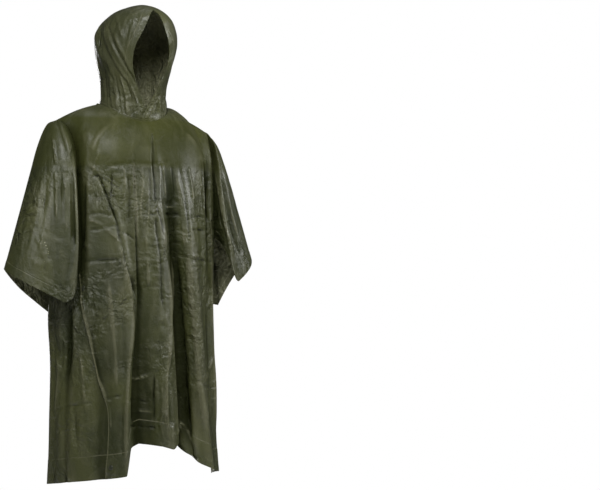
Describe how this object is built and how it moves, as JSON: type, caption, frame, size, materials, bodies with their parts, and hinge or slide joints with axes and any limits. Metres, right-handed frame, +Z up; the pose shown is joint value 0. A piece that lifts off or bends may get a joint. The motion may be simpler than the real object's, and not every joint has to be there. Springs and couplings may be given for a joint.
{
  "type": "hooded rain poncho",
  "caption": "Hooded rain poncho of coated cloth, worn and hollow, snapped under the arms into wide short sleeves, with open face, cuffs and hem.",
  "frame": {"origin": "between the shoulders at the base of the neck, where the wearer's shoulders hold it", "axes": "+Z up, the wearer faces -Y, the wearer's left hand is at +X"},
  "size_m": [0.745, 0.3977, 1.3416],
  "materials": {
    "coated_cloth": "satin",
    "snap": "satin"
  },
  "bodies": {
    "root": {"front_panel": "coated_cloth", "back_panel": "coated_cloth", "hood_right": "coated_cloth", "hood_left": "coated_cloth", "snap_cap_right_upper": "snap", "snap_cap_right_lower": "snap", "snap_cap_left_upper": "snap", "snap_cap_left_lower": "snap", "snap_back_right_upper": "snap", "snap_back_right_lower": "snap", "snap_back_left_upper": "snap", "snap_back_left_lower": "snap"}
  },
  "joints": []
}
